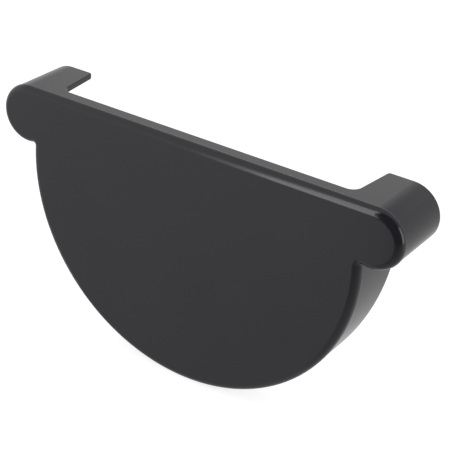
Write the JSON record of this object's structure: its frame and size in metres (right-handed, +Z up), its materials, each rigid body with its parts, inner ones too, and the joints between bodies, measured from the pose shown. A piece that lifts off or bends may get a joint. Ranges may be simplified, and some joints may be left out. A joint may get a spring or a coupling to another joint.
{
  "type": "gutter end cap",
  "caption": "Half-round gutter end cap: flat front plate with round ears, a skirt that takes the gutter's end and hooks with lips that clip over its rolled edges.",
  "frame": {"origin": "on the gutter's axis, where it meets the plate's inner face, against which the gutter's end stops", "axes": "+Z up, +Y along the gutter's axis from the plate into the gutter, +X across the cap, to the right as seen from the front"},
  "size_m": [0.16, 0.0254, 0.0912],
  "materials": {
    "cap_plastic": "anthracite moulded PVC, satin"
  },
  "bodies": {
    "root": {"end_cap": "cap_plastic"}
  },
  "joints": []
}
